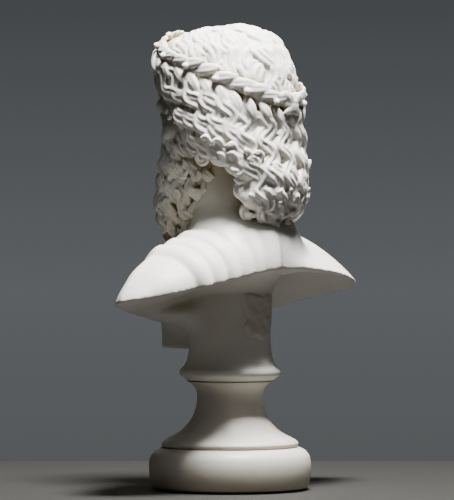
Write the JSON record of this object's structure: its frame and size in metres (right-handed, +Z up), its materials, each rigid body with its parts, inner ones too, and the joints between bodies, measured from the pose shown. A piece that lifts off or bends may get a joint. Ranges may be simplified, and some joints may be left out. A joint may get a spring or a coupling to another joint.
{
  "type": "marble bust",
  "caption": "Bearded, laurel-crowned bust in cast marble with a draped left shoulder, on a waisted socle and round base held by a tie rod.",
  "frame": {"origin": "centre of the felt pad's underside, on the axis of the turned base", "axes": "+Z up along the tie rod; the bust faces -Y, its own left shoulder is at +X"},
  "size_m": [0.1944, 0.1025, 0.2792],
  "materials": {
    "cast_marble": "satin",
    "setting_resin": "matte",
    "zinc_steel": "satin",
    "felt": "matte"
  },
  "bodies": {
    "root": {"bust": "cast_marble", "socle": "cast_marble", "base": "cast_marble", "gate_plug": "setting_resin", "upper_joint_bed": "setting_resin", "lower_joint_bed": "setting_resin", "tie_rod": "zinc_steel", "threaded_insert": "zinc_steel", "flat_washer": "zinc_steel", "spring_washer": "zinc_steel", "hex_nut": "zinc_steel", "felt_pad": "felt"}
  },
  "joints": []
}
